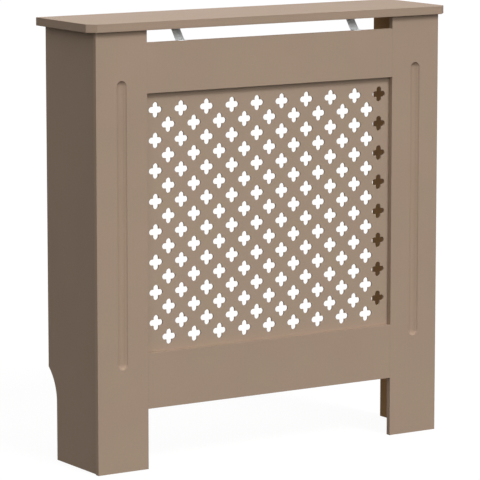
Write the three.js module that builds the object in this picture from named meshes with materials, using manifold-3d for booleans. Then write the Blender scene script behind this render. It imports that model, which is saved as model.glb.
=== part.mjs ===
// Radiator cover cabinet in raw MDF: a shelf top on two side panels, a fluted front frame with a
// perforated sheet behind it, two steel brace straps, and the hidden joinery that holds it together.
// Millimetres, +Z up. The front faces -Y, and the origin is the middle of the footprint on the floor.

import * as THREE from 'three';
import { mergeVertices } from 'three/addons/utils/BufferGeometryUtils.js';
import Module from 'manifold-3d';

const wasm = await Module();
wasm.setup();

// ---------------------------------------------------------------- driving dimensions
const WIDTH = 780; // top panel, side to side: the widest the cover gets
const DEPTH = 195; // top panel, front edge to wall
const HEIGHT = 815; // floor to the top's upper face

const TOP_THICKNESS = 15;
const TOP_SIDE_OVERHANG = 16.5; // top beyond the stiles' outer edges
const TOP_FRONT_OVERHANG = 9; // top beyond the front frame's face
const CORNER_CLIP = 15; // 45 degree cut on each front corner of the top

const SIDE_THICKNESS = 15;
const STILE_LIP = 3; // stile's outer edge beyond the side panel's outer face
const NOTCH_DEPTH = 30; // room for a skirting board, cut from the side's rear edge
const NOTCH_STRAIGHT = 108; // height of the notch's upright part
const NOTCH_RADIUS = 80; // arc that runs from the upright part out to the rear edge

const FRAME_THICKNESS = 10; // stiles and rails
const STILE_WIDTH = 105.5;
const ARCH_HEIGHT = 111.5; // floor to the lower rail
const LOWER_RAIL_HEIGHT = 102.5;
const UPPER_RAIL_HEIGHT = 91;
const AIR_GAP = 23; // upper rail to the underside of the top

const FLUTE_WIDTH = 21;
const FLUTE_DEPTH = 6;
const FLUTE_LOW_END = 188.5;
const FLUTE_TOP_MARGIN = 88.5; // flute's upper end below the stile's top

const GRILLE_THICKNESS = 3;
const GRILLE_LAP = 22; // sheet behind the frame, past each edge of the window
const GRILLE_SCREW_INSET = 95; // stile screws, from the window's upper and lower edges
const GRILLE_RAIL_SCREW_INSET = 134; // rail screws, from the window's side edges
const HOLE_SIZE = 28; // tip to tip
const HOLE_ARM = 11; // width of each arm of the cross
const HOLE_SHOULDER = 3.3; // length of each arm's tapered end
const HOLE_PITCH = 54.4; // along a row; every second row is set half a pitch across
const HOLE_ROW_STEP = 27.7;
const HOLE_SIDE_MARGIN = 8; // least distance from the window's edge to a hole
const HOLE_TOP_MARGIN = 17.5; // from the window's upper edge to the first row
const HOLE_BOTTOM_MARGIN = 10; // least distance below the last row

const STRAP_WIDTH = 18;
const STRAP_THICKNESS = 1.2;
const STRAP_INSET = 77; // middle of each strap, from the stile's inner edge
const STRAP_ANGLE = (51.3 * Math.PI) / 180; // slope above the level
const STRAP_BEND = 5; // bend radius at mid thickness
const STRAP_LEVEL = 21; // length of the upper level tab
const STRAP_SETBACK = 1.5; // lower tab's front end behind the rail's face
const STRAP_SCREW_GRIP = 14; // of the screw that goes down into the rail

const BATTEN = 18; // square section of the corner battens
const BATTEN_CLEARANCE = 20; // batten's lower end above the lower rail's bottom edge
const SIDE_SCREW_INSET = 110; // from each end of the batten
const STILE_SCREW_INSET = 150;

const DOWEL_RADIUS = 3;
const DOWEL_LENGTH = 30;
const DOWEL_EDGE = 20; // dowel to the nearest long edge of its rail

const CAM_DROP = 24; // cam's centre below the top's underside
const CAM_RADIUS = 7.5;
const CAM_SKIN = 2.5; // side panel left behind the cam's pocket
const CAM_RECESS = 0.5; // cam's face below the side's inner face
const CAM_FRONT_INSET = 35; // from the side panel's front edge
const CAM_REAR_INSET = 66; // from the side panel's rear edge
const TOP_DOWEL_INSET = 74; // from the side panel's front edge
const BOLT_SHANK = 2.5;
const BOLT_HEAD = 3.5;
const TOP_SKIN = 4; // left above blind holes in the top

const SCREW_CORE = 1.4;
const SCREW_HEAD = 3;
const SCREW_HEAD_HEIGHT = 1.2;
const SCREW_CROWN = 2.4; // radius of the head's flat crown
const SCREW_RIM_HEIGHT = 0.5;
const SCREW_SKIN = 3; // board left beyond a screw's point

const BRACKET_LEG = 24;
const BRACKET_HEIGHT = 40;
const BRACKET_THICKNESS = 1.5;
const BRACKET_SCREW_SETBACK = 15; // from the rear plane
const BRACKET_SCREW_SPACING = 20;
const WALL_HOLE = 2.6; // radius of the bracket's hole for a wall screw
const WALL_HOLE_SETBACK = 14.5; // from the side panel's inner face

const FIT = 0.3; // clearance round dowels, screws, bolts and cams
const OVERCUT = 1; // cutters run this far past the face that they open

// ---------------------------------------------------------------- derived positions
const REAR = DEPTH / 2;
const TOP_FRONT = -DEPTH / 2;
const FACE = TOP_FRONT + TOP_FRONT_OVERHANG; // front face of the frame
const FRAME_BACK = FACE + FRAME_THICKNESS;
const UNDERSIDE = HEIGHT - TOP_THICKNESS;
const STILE_OUT = WIDTH / 2 - TOP_SIDE_OVERHANG;
const STILE_IN = STILE_OUT - STILE_WIDTH;
const SIDE_OUT = STILE_OUT - STILE_LIP;
const SIDE_IN = SIDE_OUT - SIDE_THICKNESS;
const RAIL_TOP = UNDERSIDE - AIR_GAP;
const WINDOW_TOP = RAIL_TOP - UPPER_RAIL_HEIGHT;
const WINDOW_BOTTOM = ARCH_HEIGHT + LOWER_RAIL_HEIGHT;
const NOTCH_REAR = REAR - NOTCH_DEPTH;
const GRILLE_BACK = FRAME_BACK + GRILLE_THICKNESS;

// ---------------------------------------------------------------- materials
function paint(colour, roughness, metalness) {
  return () => new THREE.MeshStandardMaterial({ color: colour, roughness, metalness });
}
const mdf = paint(0xb09b83, 0.82, 0);
const mdfFrame = paint(0xa8937c, 0.82, 0);
const hardboard = paint(0xa7927b, 0.8, 0);
const softwood = paint(0xcbb084, 0.75, 0);
const beech = paint(0xc9a878, 0.7, 0);
const zincSteel = paint(0xa3a8a6, 0.45, 0.85);
const brightSteel = paint(0xb9bcbc, 0.35, 0.9);
const zincAlloy = paint(0x9b9fa1, 0.5, 0.85);

// ---------------------------------------------------------------- solids
// A closed geometry as a solid: corners shared by position only, and no flat triangles.
function toSolid(geometry) {
  const bare = geometry.clone();
  bare.deleteAttribute('normal');
  bare.deleteAttribute('uv');
  const merged = mergeVertices(bare, 1e-4);
  const index = merged.index.array;
  const kept = [];
  for (let i = 0; i < index.length; i += 3) {
    const [a, b, c] = [index[i], index[i + 1], index[i + 2]];
    if (a !== b && b !== c && a !== c) kept.push(a, b, c);
  }
  const mesh = new wasm.Mesh({
    numProp: 3,
    vertProperties: new Float32Array(merged.attributes.position.array),
    triVerts: new Uint32Array(kept),
  });
  return new wasm.Manifold(mesh);
}

function toGeometry(solid) {
  const mesh = solid.getMesh();
  const points = new Float32Array((mesh.vertProperties.length / mesh.numProp) * 3);
  for (let i = 0; i < points.length / 3; i += 1) {
    for (let k = 0; k < 3; k += 1) points[3 * i + k] = mesh.vertProperties[mesh.numProp * i + k];
  }
  const geometry = new THREE.BufferGeometry();
  geometry.setAttribute('position', new THREE.BufferAttribute(points, 3));
  geometry.setIndex(new THREE.BufferAttribute(new Uint32Array(mesh.triVerts), 1));
  geometry.computeVertexNormals();
  return geometry;
}

function carve(geometry, cutters) {
  return toGeometry(cutters.reduce((body, cutter) => body.subtract(toSolid(cutter)), toSolid(geometry)));
}

// A box from one corner to the other, with the corners' own numbers as its planes.
function block(x0, x1, y0, y1, z0, z1) {
  const geometry = new THREE.BoxGeometry(1, 1, 1);
  const spot = geometry.attributes.position;
  for (let i = 0; i < spot.count; i += 1) {
    spot.setXYZ(i, spot.getX(i) < 0 ? x0 : x1, spot.getY(i) < 0 ? y0 : y1, spot.getZ(i) < 0 ? z0 : z1);
  }
  return geometry;
}

// A closed outline in one plane, drawn out from one level to another.
function prism(shape, from, to, turn) {
  const geometry = new THREE.ExtrudeGeometry(shape, { depth: 1, bevelEnabled: false, curveSegments: 1 });
  const spot = geometry.attributes.position;
  for (let i = 0; i < spot.count; i += 1) {
    const level = spot.getZ(i) < 0.5 ? from : to;
    spot.setXYZ(i, ...turn(spot.getX(i), spot.getY(i), level));
  }
  return geometry;
}
const standing = (u, v, level) => [u, v, level]; // outline in XY, drawn along Z
const sideways = (u, v, level) => [level, u, v]; // outline in YZ, drawn along X
const frontal = (u, v, level) => [v, level, u]; // outline in ZX, drawn along Y

function outline(points) {
  return new THREE.Shape(points.map(([u, v]) => new THREE.Vector2(u, v)));
}

// A body turned about its own axis: [radius, distance along the axis] pairs, both ends on the axis.
function turned(profile, segments) {
  return new THREE.LatheGeometry(profile.map(([r, h]) => new THREE.Vector2(r, h)), segments);
}

// A turned body's axis is +Y: it is laid along the named direction, and the body moved to its place.
function aim(geometry, direction, x, y, z) {
  if (direction === '+x') geometry.rotateZ(-Math.PI / 2);
  if (direction === '-x') geometry.rotateZ(Math.PI / 2);
  if (direction === '-y') geometry.rotateX(Math.PI);
  if (direction === '+z') geometry.rotateX(Math.PI / 2);
  if (direction === '-z') geometry.rotateX(-Math.PI / 2);
  return geometry.translate(x, y, z);
}

const ROUND = 8; // sides of small bores and fixings
const boreRadius = (radius) => radius / Math.cos(Math.PI / ROUND) + FIT;

// A round cutter from a point, running the given distance along a direction.
function bore(radius, direction, x, y, z, length, back = OVERCUT) {
  const rod = new THREE.CylinderGeometry(radius, radius, length + back, ROUND);
  return aim(rod.translate(0, (length - back) / 2, 0), direction, x, y, z);
}

// ---------------------------------------------------------------- object
const cover = new THREE.Group();

function add(name, geometry, material) {
  const mesh = new THREE.Mesh(geometry, material());
  mesh.name = name;
  cover.add(mesh);
}

// A pan head screw: its head rests on a face at the given point, its point goes along the direction.
function addScrew(name, direction, x, y, z, length) {
  const profile = [
    [0, -SCREW_HEAD_HEIGHT],
    [SCREW_CROWN, -SCREW_HEAD_HEIGHT],
    [SCREW_HEAD, -SCREW_RIM_HEIGHT],
    [SCREW_HEAD, 0],
    [SCREW_CORE, 0],
    [SCREW_CORE, length - 2 * SCREW_CORE],
    [0, length],
  ];
  add(name, aim(turned(profile, ROUND), direction, x, y, z), brightSteel);
}
const screwBore = (direction, x, y, z, length, back) =>
  bore(boreRadius(SCREW_CORE), direction, x, y, z, length + FIT, back);

const sides = [
  ['left', -1],
  ['right', 1],
];
const spanX = (sign, near, far) => (sign > 0 ? [near, far] : [-far, -near]);
const outward = (sign) => (sign > 0 ? '+x' : '-x');

// ---- braces: places shared by the straps, the rail and the top
const strapX = STILE_IN - STRAP_INSET;
const strapLow = RAIL_TOP + STRAP_THICKNESS / 2;
const strapHigh = UNDERSIDE - STRAP_THICKNESS / 2;
const strapRun = (() => {
  const rise = strapHigh - strapLow - 2 * STRAP_BEND * (1 - Math.cos(STRAP_ANGLE));
  return 2 * STRAP_BEND * Math.sin(STRAP_ANGLE) + rise / Math.tan(STRAP_ANGLE);
})();
const strapTabEnd = FRAME_BACK + STRAP_THICKNESS / 2 + strapRun + STRAP_LEVEL;
const strapRailScrewY = FACE + FRAME_THICKNESS / 2;
const strapTopScrewY = strapTabEnd - STRAP_LEVEL / 2;
const railScrewLength = STRAP_THICKNESS + STRAP_SCREW_GRIP;
const topScrewLength = STRAP_THICKNESS + TOP_THICKNESS - TOP_SKIN;

// ---- top panel
const midSide = (SIDE_IN + SIDE_OUT) / 2;
const topDowelDepth = TOP_THICKNESS - TOP_SKIN;
const camPlaces = [FRAME_BACK + CAM_FRONT_INSET, REAR - CAM_REAR_INSET];
const topDowelY = FRAME_BACK + TOP_DOWEL_INSET;
{
  const clipped = outline([
    [-WIDTH / 2, TOP_FRONT + CORNER_CLIP],
    [-WIDTH / 2 + CORNER_CLIP, TOP_FRONT],
    [WIDTH / 2 - CORNER_CLIP, TOP_FRONT],
    [WIDTH / 2, TOP_FRONT + CORNER_CLIP],
    [WIDTH / 2, REAR],
    [-WIDTH / 2, REAR],
  ]);
  const cutters = [];
  for (const [, sign] of sides) {
    for (const y of camPlaces) {
      cutters.push(bore(boreRadius(BOLT_SHANK), '+z', sign * midSide, y, UNDERSIDE, topDowelDepth));
    }
    cutters.push(
      bore(boreRadius(DOWEL_RADIUS), '+z', sign * midSide, topDowelY, UNDERSIDE, topDowelDepth),
      screwBore('+z', sign * strapX, strapTopScrewY, UNDERSIDE, TOP_THICKNESS - TOP_SKIN),
    );
  }
  add('top_panel', carve(prism(clipped, UNDERSIDE, HEIGHT, standing), cutters), mdf);
}

// ---- side panels, each with the skirting board notch at the foot of its rear edge
const battenLow = ARCH_HEIGHT + BATTEN_CLEARANCE;
const battenHigh = WINDOW_TOP;
const sideScrews = [battenLow + SIDE_SCREW_INSET, battenHigh - SIDE_SCREW_INSET];
const stileScrews = [battenLow + STILE_SCREW_INSET, battenHigh - STILE_SCREW_INSET];
const battenY = FRAME_BACK + BATTEN / 2;
const bracketZ = RAIL_TOP - UPPER_RAIL_HEIGHT / 2;
const bracketScrewY = REAR - BRACKET_SCREW_SETBACK;
const bracketLevels = [-1, 1].map((step) => bracketZ + (step * BRACKET_SCREW_SPACING) / 2);
const sideScrewReach = SIDE_THICKNESS - SCREW_SKIN;
const camZ = UNDERSIDE - CAM_DROP;
const camDepth = SIDE_THICKNESS - CAM_SKIN;

function sideOutline() {
  const points = [
    [FRAME_BACK, 0],
    [NOTCH_REAR, 0],
    [NOTCH_REAR, NOTCH_STRAIGHT],
  ];
  const steps = 7;
  const sweep = Math.acos(1 - NOTCH_DEPTH / NOTCH_RADIUS);
  for (let i = 1; i < steps; i += 1) {
    const angle = (sweep * i) / steps;
    points.push([
      NOTCH_REAR + NOTCH_RADIUS * (1 - Math.cos(angle)),
      NOTCH_STRAIGHT + NOTCH_RADIUS * Math.sin(angle),
    ]);
  }
  points.push([REAR, NOTCH_STRAIGHT + NOTCH_RADIUS * Math.sin(sweep)]);
  points.push([REAR, UNDERSIDE], [FRAME_BACK, UNDERSIDE]);
  return outline(points);
}

for (const [hand, sign] of sides) {
  const [x0, x1] = spanX(sign, SIDE_IN, SIDE_OUT);
  const cutters = [];
  for (const y of camPlaces) {
    const radius = CAM_RADIUS + 2 * FIT;
    const pocket = new THREE.CylinderGeometry(radius, radius, camDepth + OVERCUT, 16);
    pocket.translate(0, (camDepth - OVERCUT) / 2, 0);
    cutters.push(aim(pocket, outward(sign), sign * SIDE_IN, y, camZ));
    cutters.push(bore(boreRadius(BOLT_HEAD), '-z', sign * midSide, y, UNDERSIDE, CAM_DROP));
  }
  const pegDepth = DOWEL_LENGTH - topDowelDepth + FIT;
  cutters.push(bore(boreRadius(DOWEL_RADIUS), '-z', sign * midSide, topDowelY, UNDERSIDE, pegDepth));
  for (const z of sideScrews) {
    cutters.push(screwBore(outward(sign), sign * SIDE_IN, battenY, z, sideScrewReach));
  }
  for (const z of bracketLevels) {
    cutters.push(screwBore(outward(sign), sign * SIDE_IN, bracketScrewY, z, sideScrewReach));
  }
  add(`side_panel_${hand}`, carve(prism(sideOutline(), x0, x1, sideways), cutters), mdf);
}

// ---- front frame: two fluted stiles from floor to top, and two rails between them
const dowelY = FACE + FRAME_THICKNESS / 2;
const railDowels = {
  upper: [WINDOW_TOP + DOWEL_EDGE, RAIL_TOP - DOWEL_EDGE],
  lower: [ARCH_HEIGHT + DOWEL_EDGE, WINDOW_BOTTOM - DOWEL_EDGE],
};
const dowelHalf = DOWEL_LENGTH / 2;
const grilleScrewReach = FRAME_THICKNESS - SCREW_SKIN;
const grilleScrewInset = GRILLE_LAP / 2;
const grilleScrews = [];
for (const [hand, sign] of sides) {
  const stileX = sign * (STILE_IN + grilleScrewInset);
  const railX = sign * (STILE_IN - GRILLE_RAIL_SCREW_INSET);
  grilleScrews.push([`${hand}_low`, stileX, WINDOW_BOTTOM + GRILLE_SCREW_INSET, 'stile', sign]);
  grilleScrews.push([`${hand}_high`, stileX, WINDOW_TOP - GRILLE_SCREW_INSET, 'stile', sign]);
  grilleScrews.push([`top_${hand}`, railX, WINDOW_TOP + grilleScrewInset, 'upper', sign]);
  grilleScrews.push([`bottom_${hand}`, railX, WINDOW_BOTTOM - grilleScrewInset, 'lower', sign]);
}

for (const [hand, sign] of sides) {
  const [x0, x1] = spanX(sign, STILE_IN, STILE_OUT);
  const noseRadius = (FLUTE_WIDTH ** 2 / 4 + FLUTE_DEPTH ** 2) / (2 * FLUTE_DEPTH);
  const noseY = FACE + FLUTE_DEPTH - noseRadius;
  const fluteHigh = UNDERSIDE - FLUTE_TOP_MARGIN;
  const straight = fluteHigh - FLUTE_LOW_END - FLUTE_WIDTH;
  const arc = [];
  for (let i = 0; i <= 8; i += 1) {
    const angle = -Math.PI / 2 + (Math.PI / 2) * (i / 8);
    arc.push([noseRadius * Math.cos(angle), noseRadius * Math.sin(angle) - straight / 2]);
  }
  const nose = [...arc, ...arc.map(([r, h]) => [r, -h]).reverse()];
  nose[0][0] = 0;
  nose[nose.length - 1][0] = 0;
  const cutters = [
    aim(turned(nose, 32), '+z', (x0 + x1) / 2, noseY, (fluteHigh + FLUTE_LOW_END) / 2),
  ];
  for (const z of [...railDowels.upper, ...railDowels.lower]) {
    cutters.push(bore(boreRadius(DOWEL_RADIUS), outward(sign), sign * STILE_IN, dowelY, z, dowelHalf + FIT));
  }
  for (const z of stileScrews) {
    const x = sign * (SIDE_IN - BATTEN / 2);
    cutters.push(screwBore('-y', x, FRAME_BACK, z, FRAME_THICKNESS - SCREW_SKIN));
  }
  for (const [, x, z, board, side] of grilleScrews) {
    if (board === 'stile' && side === sign) cutters.push(screwBore('-y', x, FRAME_BACK, z, grilleScrewReach));
  }
  add(`stile_${hand}`, carve(block(x0, x1, FACE, FRAME_BACK, 0, UNDERSIDE), cutters), mdfFrame);
}

for (const [name, low, high] of [
  ['upper', WINDOW_TOP, RAIL_TOP],
  ['lower', ARCH_HEIGHT, WINDOW_BOTTOM],
]) {
  const cutters = [];
  for (const [, sign] of sides) {
    for (const z of railDowels[name]) {
      const inward = outward(-sign);
      cutters.push(bore(boreRadius(DOWEL_RADIUS), inward, sign * STILE_IN, dowelY, z, dowelHalf));
    }
    if (name === 'upper') {
      cutters.push(screwBore('-z', sign * strapX, strapRailScrewY, RAIL_TOP, STRAP_SCREW_GRIP));
    }
  }
  for (const [, x, z, board] of grilleScrews) {
    if (board === name) cutters.push(screwBore('-y', x, FRAME_BACK, z, grilleScrewReach));
  }
  add(`${name}_rail`, carve(block(-STILE_IN, STILE_IN, FACE, FRAME_BACK, low, high), cutters), mdfFrame);
}

// Rail dowels, pushed to the bottom of the rails' bores, with the spare depth in the stiles.
for (const [hand, sign] of sides) {
  for (const [rail, levels] of Object.entries(railDowels)) {
    levels.forEach((z, i) => {
      const dowel = new THREE.CylinderGeometry(DOWEL_RADIUS, DOWEL_RADIUS, DOWEL_LENGTH, ROUND);
      const name = `dowel_${rail}_${hand}_${i ? 'high' : 'low'}`;
      add(name, aim(dowel, outward(sign), sign * STILE_IN, dowelY, z), beech);
    });
  }
}

// ---- perforated sheet, laid against the back of the frame
{
  const half = STILE_IN + GRILLE_LAP;
  const sheet = outline([
    [WINDOW_BOTTOM - GRILLE_LAP, -half],
    [WINDOW_TOP + GRILLE_LAP, -half],
    [WINDOW_TOP + GRILLE_LAP, half],
    [WINDOW_BOTTOM - GRILLE_LAP, half],
  ]);
  const spaceX = 2 * (STILE_IN - HOLE_SIDE_MARGIN) - HOLE_SIZE;
  const spaceZ = WINDOW_TOP - WINDOW_BOTTOM - HOLE_TOP_MARGIN - HOLE_BOTTOM_MARGIN - HOLE_SIZE;
  const widest = Math.floor(spaceX / HOLE_PITCH) + 1;
  const rows = Math.floor(spaceZ / HOLE_ROW_STEP) + 1;
  const arm = HOLE_ARM / 2;
  const tip = HOLE_SIZE / 2;
  const shoulder = tip - HOLE_SHOULDER;
  // One arm's corners, going round the cross: inner corner, shoulder, tip, shoulder.
  const quarter = [
    [arm, arm],
    [shoulder, arm],
    [tip, 0],
    [shoulder, -arm],
  ];
  for (let row = 0; row < rows; row += 1) {
    const columns = row % 2 ? widest - 1 : widest;
    const z = WINDOW_TOP - HOLE_TOP_MARGIN - tip - row * HOLE_ROW_STEP;
    for (let column = 0; column < columns; column += 1) {
      const x = (column - (columns - 1) / 2) * HOLE_PITCH;
      const points = [];
      for (let turn = 0; turn < 4; turn += 1) {
        const [c, s] = [[1, 0], [0, -1], [-1, 0], [0, 1]][turn];
        for (const [u, v] of quarter) points.push(new THREE.Vector2(z + c * u - s * v, x + s * u + c * v));
      }
      sheet.holes.push(new THREE.Path(points));
    }
  }
  for (const [, x, z] of grilleScrews) {
    const radius = boreRadius(SCREW_CORE);
    const ring = new THREE.Path();
    for (let i = 0; i < ROUND; i += 1) {
      const angle = (-2 * Math.PI * i) / ROUND;
      const spot = [z + radius * Math.cos(angle), x + radius * Math.sin(angle)];
      if (i) ring.lineTo(...spot);
      else ring.moveTo(...spot);
    }
    sheet.holes.push(ring);
  }
  add('grille_panel', prism(sheet, FRAME_BACK, GRILLE_BACK, frontal), hardboard);
}
for (const [place, x, z] of grilleScrews) {
  addScrew(`grille_screw_${place}`, '-y', x, GRILLE_BACK, z, GRILLE_THICKNESS + grilleScrewReach);
}

// ---- corner battens behind the stiles, screwed to the stile and to the side panel from inside
for (const [hand, sign] of sides) {
  const [x0, x1] = spanX(sign, SIDE_IN - BATTEN, SIDE_IN);
  const inner = sign * (SIDE_IN - BATTEN);
  const middle = sign * (SIDE_IN - BATTEN / 2);
  const back = FRAME_BACK + BATTEN;
  const cutters = [
    ...sideScrews.map((z) => screwBore(outward(sign), inner, battenY, z, BATTEN + OVERCUT)),
    ...stileScrews.map((z) => screwBore('-y', middle, back, z, BATTEN + OVERCUT)),
  ];
  const bar = block(x0, x1, FRAME_BACK, back, battenLow, battenHigh);
  add(`corner_batten_${hand}`, carve(bar, cutters), softwood);
  sideScrews.forEach((z, i) => {
    const name = `batten_side_screw_${hand}_${i ? 'high' : 'low'}`;
    addScrew(name, outward(sign), inner, battenY, z, BATTEN + sideScrewReach);
  });
  stileScrews.forEach((z, i) => {
    const name = `batten_stile_screw_${hand}_${i ? 'high' : 'low'}`;
    addScrew(name, '-y', middle, back, z, BATTEN + FRAME_THICKNESS - SCREW_SKIN);
  });
}

// ---- brace straps: level tab on the rail, sloping bar, level tab under the top
// Each point of the bar's middle line has its slope; the tabs' faces lie on the rail and the top.
function strapOutline() {
  const middle = [[FACE + STRAP_SETBACK, strapLow, 0]];
  const foot = FRAME_BACK + STRAP_THICKNESS / 2;
  const steps = 4;
  for (let i = 0; i <= steps; i += 1) {
    const angle = (STRAP_ANGLE * i) / steps;
    middle.push([
      foot + STRAP_BEND * Math.sin(angle),
      strapLow + STRAP_BEND * (1 - Math.cos(angle)),
      angle,
    ]);
  }
  for (let i = steps; i >= 0; i -= 1) {
    const angle = (STRAP_ANGLE * i) / steps;
    middle.push([
      foot + strapRun - STRAP_BEND * Math.sin(angle),
      strapHigh - STRAP_BEND * (1 - Math.cos(angle)),
      angle,
    ]);
  }
  middle.push([strapTabEnd, strapHigh, 0]);
  const face = (side) => ([y, z, angle]) => {
    const half = (side * STRAP_THICKNESS) / 2;
    if (angle > 0) return [y - half * Math.sin(angle), z + half * Math.cos(angle)];
    if (z === strapHigh) return [y, side > 0 ? UNDERSIDE : UNDERSIDE - STRAP_THICKNESS];
    return [y, side > 0 ? RAIL_TOP + STRAP_THICKNESS : RAIL_TOP];
  };
  return outline([...middle.map(face(-1)), ...middle.map(face(1)).reverse()]);
}

for (const [hand, sign] of sides) {
  const [x0, x1] = spanX(sign, strapX - STRAP_WIDTH / 2, strapX + STRAP_WIDTH / 2);
  const x = sign * strapX;
  const cutters = [
    screwBore('-z', x, strapRailScrewY, RAIL_TOP + STRAP_THICKNESS, STRAP_THICKNESS + OVERCUT),
    screwBore('+z', x, strapTopScrewY, UNDERSIDE - STRAP_THICKNESS, STRAP_THICKNESS + OVERCUT),
  ];
  add(`brace_strap_${hand}`, carve(prism(strapOutline(), x0, x1, sideways), cutters), zincSteel);
  addScrew(`brace_rail_screw_${hand}`, '-z', x, strapRailScrewY, RAIL_TOP + STRAP_THICKNESS, railScrewLength);
  addScrew(`brace_top_screw_${hand}`, '+z', x, strapTopScrewY, UNDERSIDE - STRAP_THICKNESS, topScrewLength);
}

// ---- cams and bolts that draw the top down on the sides, with a locating dowel between them
for (const [hand, sign] of sides) {
  camPlaces.forEach((y, i) => {
    const spot = i ? 'rear' : 'front';
    const thickness = camDepth - CAM_RECESS;
    const disc = new THREE.CylinderGeometry(CAM_RADIUS, CAM_RADIUS, thickness, 16);
    disc.translate(0, CAM_RECESS + thickness / 2, 0);
    const body = aim(disc, outward(sign), sign * SIDE_IN, y, camZ);
    const slot = bore(boreRadius(BOLT_HEAD), '+z', sign * midSide, y, camZ - BOLT_HEAD, 3 * CAM_RADIUS, 0);
    add(`cam_${hand}_${spot}`, carve(body, [slot]), zincAlloy);
    const profile = [
      [0, camZ - BOLT_HEAD + FIT],
      [BOLT_HEAD, camZ - BOLT_HEAD + FIT],
      [BOLT_HEAD, camZ + BOLT_HEAD / 2],
      [BOLT_SHANK, camZ + BOLT_HEAD],
      [BOLT_SHANK, UNDERSIDE + topDowelDepth],
      [0, UNDERSIDE + topDowelDepth],
    ];
    add(`cam_bolt_${hand}_${spot}`, aim(turned(profile, ROUND), '+z', sign * midSide, y, 0), brightSteel);
  });
  const peg = new THREE.CylinderGeometry(DOWEL_RADIUS, DOWEL_RADIUS, DOWEL_LENGTH, ROUND);
  peg.translate(0, UNDERSIDE + topDowelDepth - dowelHalf, 0);
  add(`dowel_top_${hand}`, aim(peg, '+z', sign * midSide, topDowelY, 0), beech);
}

// ---- wall brackets in the rear corners, behind the upper rail
for (const [hand, sign] of sides) {
  const inner = SIDE_IN - BRACKET_THICKNESS;
  const angle = [
    [SIDE_IN, REAR],
    [SIDE_IN, REAR - BRACKET_LEG],
    [inner, REAR - BRACKET_LEG],
    [inner, REAR - BRACKET_THICKNESS],
    [SIDE_IN - BRACKET_LEG, REAR - BRACKET_THICKNESS],
    [SIDE_IN - BRACKET_LEG, REAR],
  ].map(([x, y]) => [sign * x, y]);
  const low = bracketZ - BRACKET_HEIGHT / 2;
  const cutters = bracketLevels.map((z) =>
    screwBore(outward(sign), sign * inner, bracketScrewY, z, BRACKET_THICKNESS + OVERCUT),
  );
  const wallHoleX = sign * (SIDE_IN - WALL_HOLE_SETBACK);
  const holeLength = BRACKET_THICKNESS + OVERCUT;
  cutters.push(bore(WALL_HOLE, '+y', wallHoleX, REAR - BRACKET_THICKNESS, bracketZ, holeLength));
  const plate = prism(outline(angle), low, low + BRACKET_HEIGHT, standing);
  add(`wall_bracket_${hand}`, carve(plate, cutters), zincSteel);
  bracketLevels.forEach((z, i) => {
    const name = `bracket_screw_${hand}_${i ? 'high' : 'low'}`;
    addScrew(name, outward(sign), sign * inner, bracketScrewY, z, BRACKET_THICKNESS + sideScrewReach);
  });
}

export default cover;
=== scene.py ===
"""The looks of a radiator cover cabinet in raw fibreboard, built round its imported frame.

Every length is in metres and every place is in the frame's own axes: +X to the right, +Y back to
the wall, +Z up. Each new piece takes its place from the node that it stands for.
"""

import logging
import math
from collections.abc import Callable, Iterator, Sequence
from contextlib import contextmanager
from dataclasses import dataclass, field
from enum import Enum

import bmesh
import bpy
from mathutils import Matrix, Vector


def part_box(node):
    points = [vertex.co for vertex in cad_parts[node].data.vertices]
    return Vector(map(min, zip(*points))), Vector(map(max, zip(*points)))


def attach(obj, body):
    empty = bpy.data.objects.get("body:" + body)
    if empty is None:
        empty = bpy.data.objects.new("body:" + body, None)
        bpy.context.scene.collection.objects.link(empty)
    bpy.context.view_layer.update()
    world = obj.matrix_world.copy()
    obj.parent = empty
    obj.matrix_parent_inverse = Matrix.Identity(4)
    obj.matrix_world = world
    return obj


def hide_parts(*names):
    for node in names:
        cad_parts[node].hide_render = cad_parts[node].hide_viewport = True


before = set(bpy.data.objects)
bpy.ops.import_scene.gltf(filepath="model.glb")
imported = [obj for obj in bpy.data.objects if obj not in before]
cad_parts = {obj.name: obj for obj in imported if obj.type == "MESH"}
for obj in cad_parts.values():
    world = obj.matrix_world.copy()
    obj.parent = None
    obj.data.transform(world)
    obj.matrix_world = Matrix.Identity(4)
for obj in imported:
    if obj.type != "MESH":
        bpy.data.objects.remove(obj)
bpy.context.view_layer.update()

log = logging.getLogger("radiator_cover")

MM = 0.001
NEAR = 0.01 * MM  # places this near to each other count as the same
MERGE = 0.005 * MM  # vertices this near to each other become one
QUARTER_TURN = math.radians(90)
SMOOTH_LIMIT = math.radians(12)  # faces that meet at less are shaded as one
EASE_LIMIT = math.radians(28)  # edges that turn by more are eased
SQUARE_ON = 0.9  # a normal's least share along an axis that its face is square to
HANDS = ("left", "right")
LEVELS = ("low", "high")
SPOTS = ("front", "rear")
Piece = bpy.types.Object
Socket = bpy.types.NodeSocket
Material = bpy.types.Material


class Axis(Enum):
    """A frame axis, by its place in a vector."""

    X = 0
    Y = 1
    Z = 2


class Way(Enum):
    """The way that a fixing points, from its head to its point."""

    LEFT = (-1, 0, 0)
    RIGHT = (1, 0, 0)
    FRONT = (0, -1, 0)
    DOWN = (0, 0, -1)
    UP = (0, 0, 1)

    @property
    def vector(self) -> Vector:
        """The way as a unit vector."""
        return Vector(self.value)


def sign_of(hand: str) -> int:
    """-1 on the left side and 1 on the right side."""
    return -1 if hand == "left" else 1


# ---------------- colours
Colour = tuple[float, float, float]
Tone = tuple[float, float, float, float]
Stops = Sequence[tuple[float, Tone]]


def from_hex(code: int) -> Colour:
    """Turns a written colour into the linear values that a shader takes.

    Args:
        code: the colour as 0xRRGGBB.

    Returns:
        Red, green and blue, linear, from 0 to 1.
    """

    def linear(channel: int) -> float:
        """One channel, taken from its written curve."""
        share = channel / 255
        if share <= 0.04045:
            return share / 12.92
        return ((share + 0.055) / 1.055) ** 2.4

    return (linear(code >> 16 & 255), linear(code >> 8 & 255), linear(code & 255))


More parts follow.
